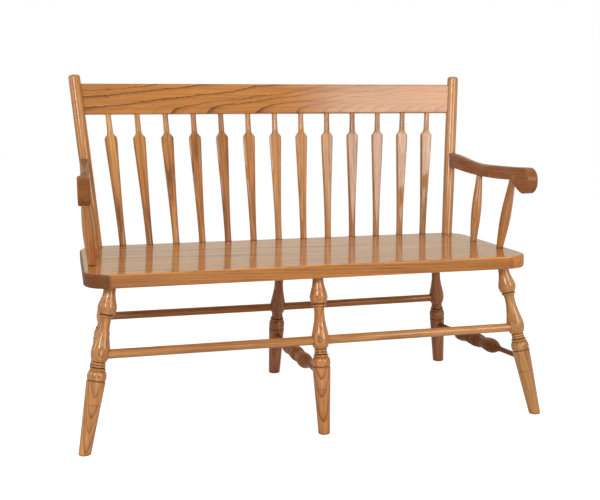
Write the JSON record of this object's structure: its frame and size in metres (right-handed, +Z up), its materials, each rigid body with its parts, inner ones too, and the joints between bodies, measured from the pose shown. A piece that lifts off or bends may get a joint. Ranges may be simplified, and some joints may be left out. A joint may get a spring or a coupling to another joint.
{
  "type": "deacons bench",
  "caption": "Oak bench seat with a leaning back of arrow spindles under a crest rail, scrolled arms on turned spindles, and turned splayed legs tied by stretchers.",
  "frame": {"origin": "on the floor, under the middle of the bench's outer box", "axes": "+X along the bench to the sitter's left, the front faces -Y, +Z up"},
  "size_m": [1.2944, 0.6416, 0.9703],
  "materials": {
    "oak": "stained honey amber under clear gloss lacquer",
    "steel": "plain zinc wood screw"
  },
  "bodies": {
    "root": {"arm_left": "oak", "arm_right": "oak", "arm_screw_plugs": "oak", "arm_screws": "steel", "arm_spindle_front_left": "oak", "arm_spindle_front_right": "oak", "arm_spindle_rear_left": "oak", "arm_spindle_rear_right": "oak", "arrow_spindle_01": "oak", "arrow_spindle_02": "oak", "arrow_spindle_03": "oak", "arrow_spindle_04": "oak", "arrow_spindle_05": "oak", "arrow_spindle_06": "oak", "arrow_spindle_07": "oak", "arrow_spindle_08": "oak", "arrow_spindle_09": "oak", "arrow_spindle_10": "oak", "arrow_spindle_11": "oak", "arrow_spindle_12": "oak", "arrow_spindle_13": "oak", "back_post_left": "oak", "back_post_right": "oak", "crest_rail": "oak", "cross_stretcher_left": "oak", "cross_stretcher_middle": "oak", "cross_stretcher_right": "oak", "leg_front_left": "oak", "leg_front_middle": "oak", "leg_front_right": "oak", "leg_rear_left": "oak", "leg_rear_middle": "oak", "leg_rear_right": "oak", "long_stretcher_front_left": "oak", "long_stretcher_front_right": "oak", "long_stretcher_rear_left": "oak", "long_stretcher_rear_right": "oak", "seat_plank": "oak"}
  },
  "joints": []
}
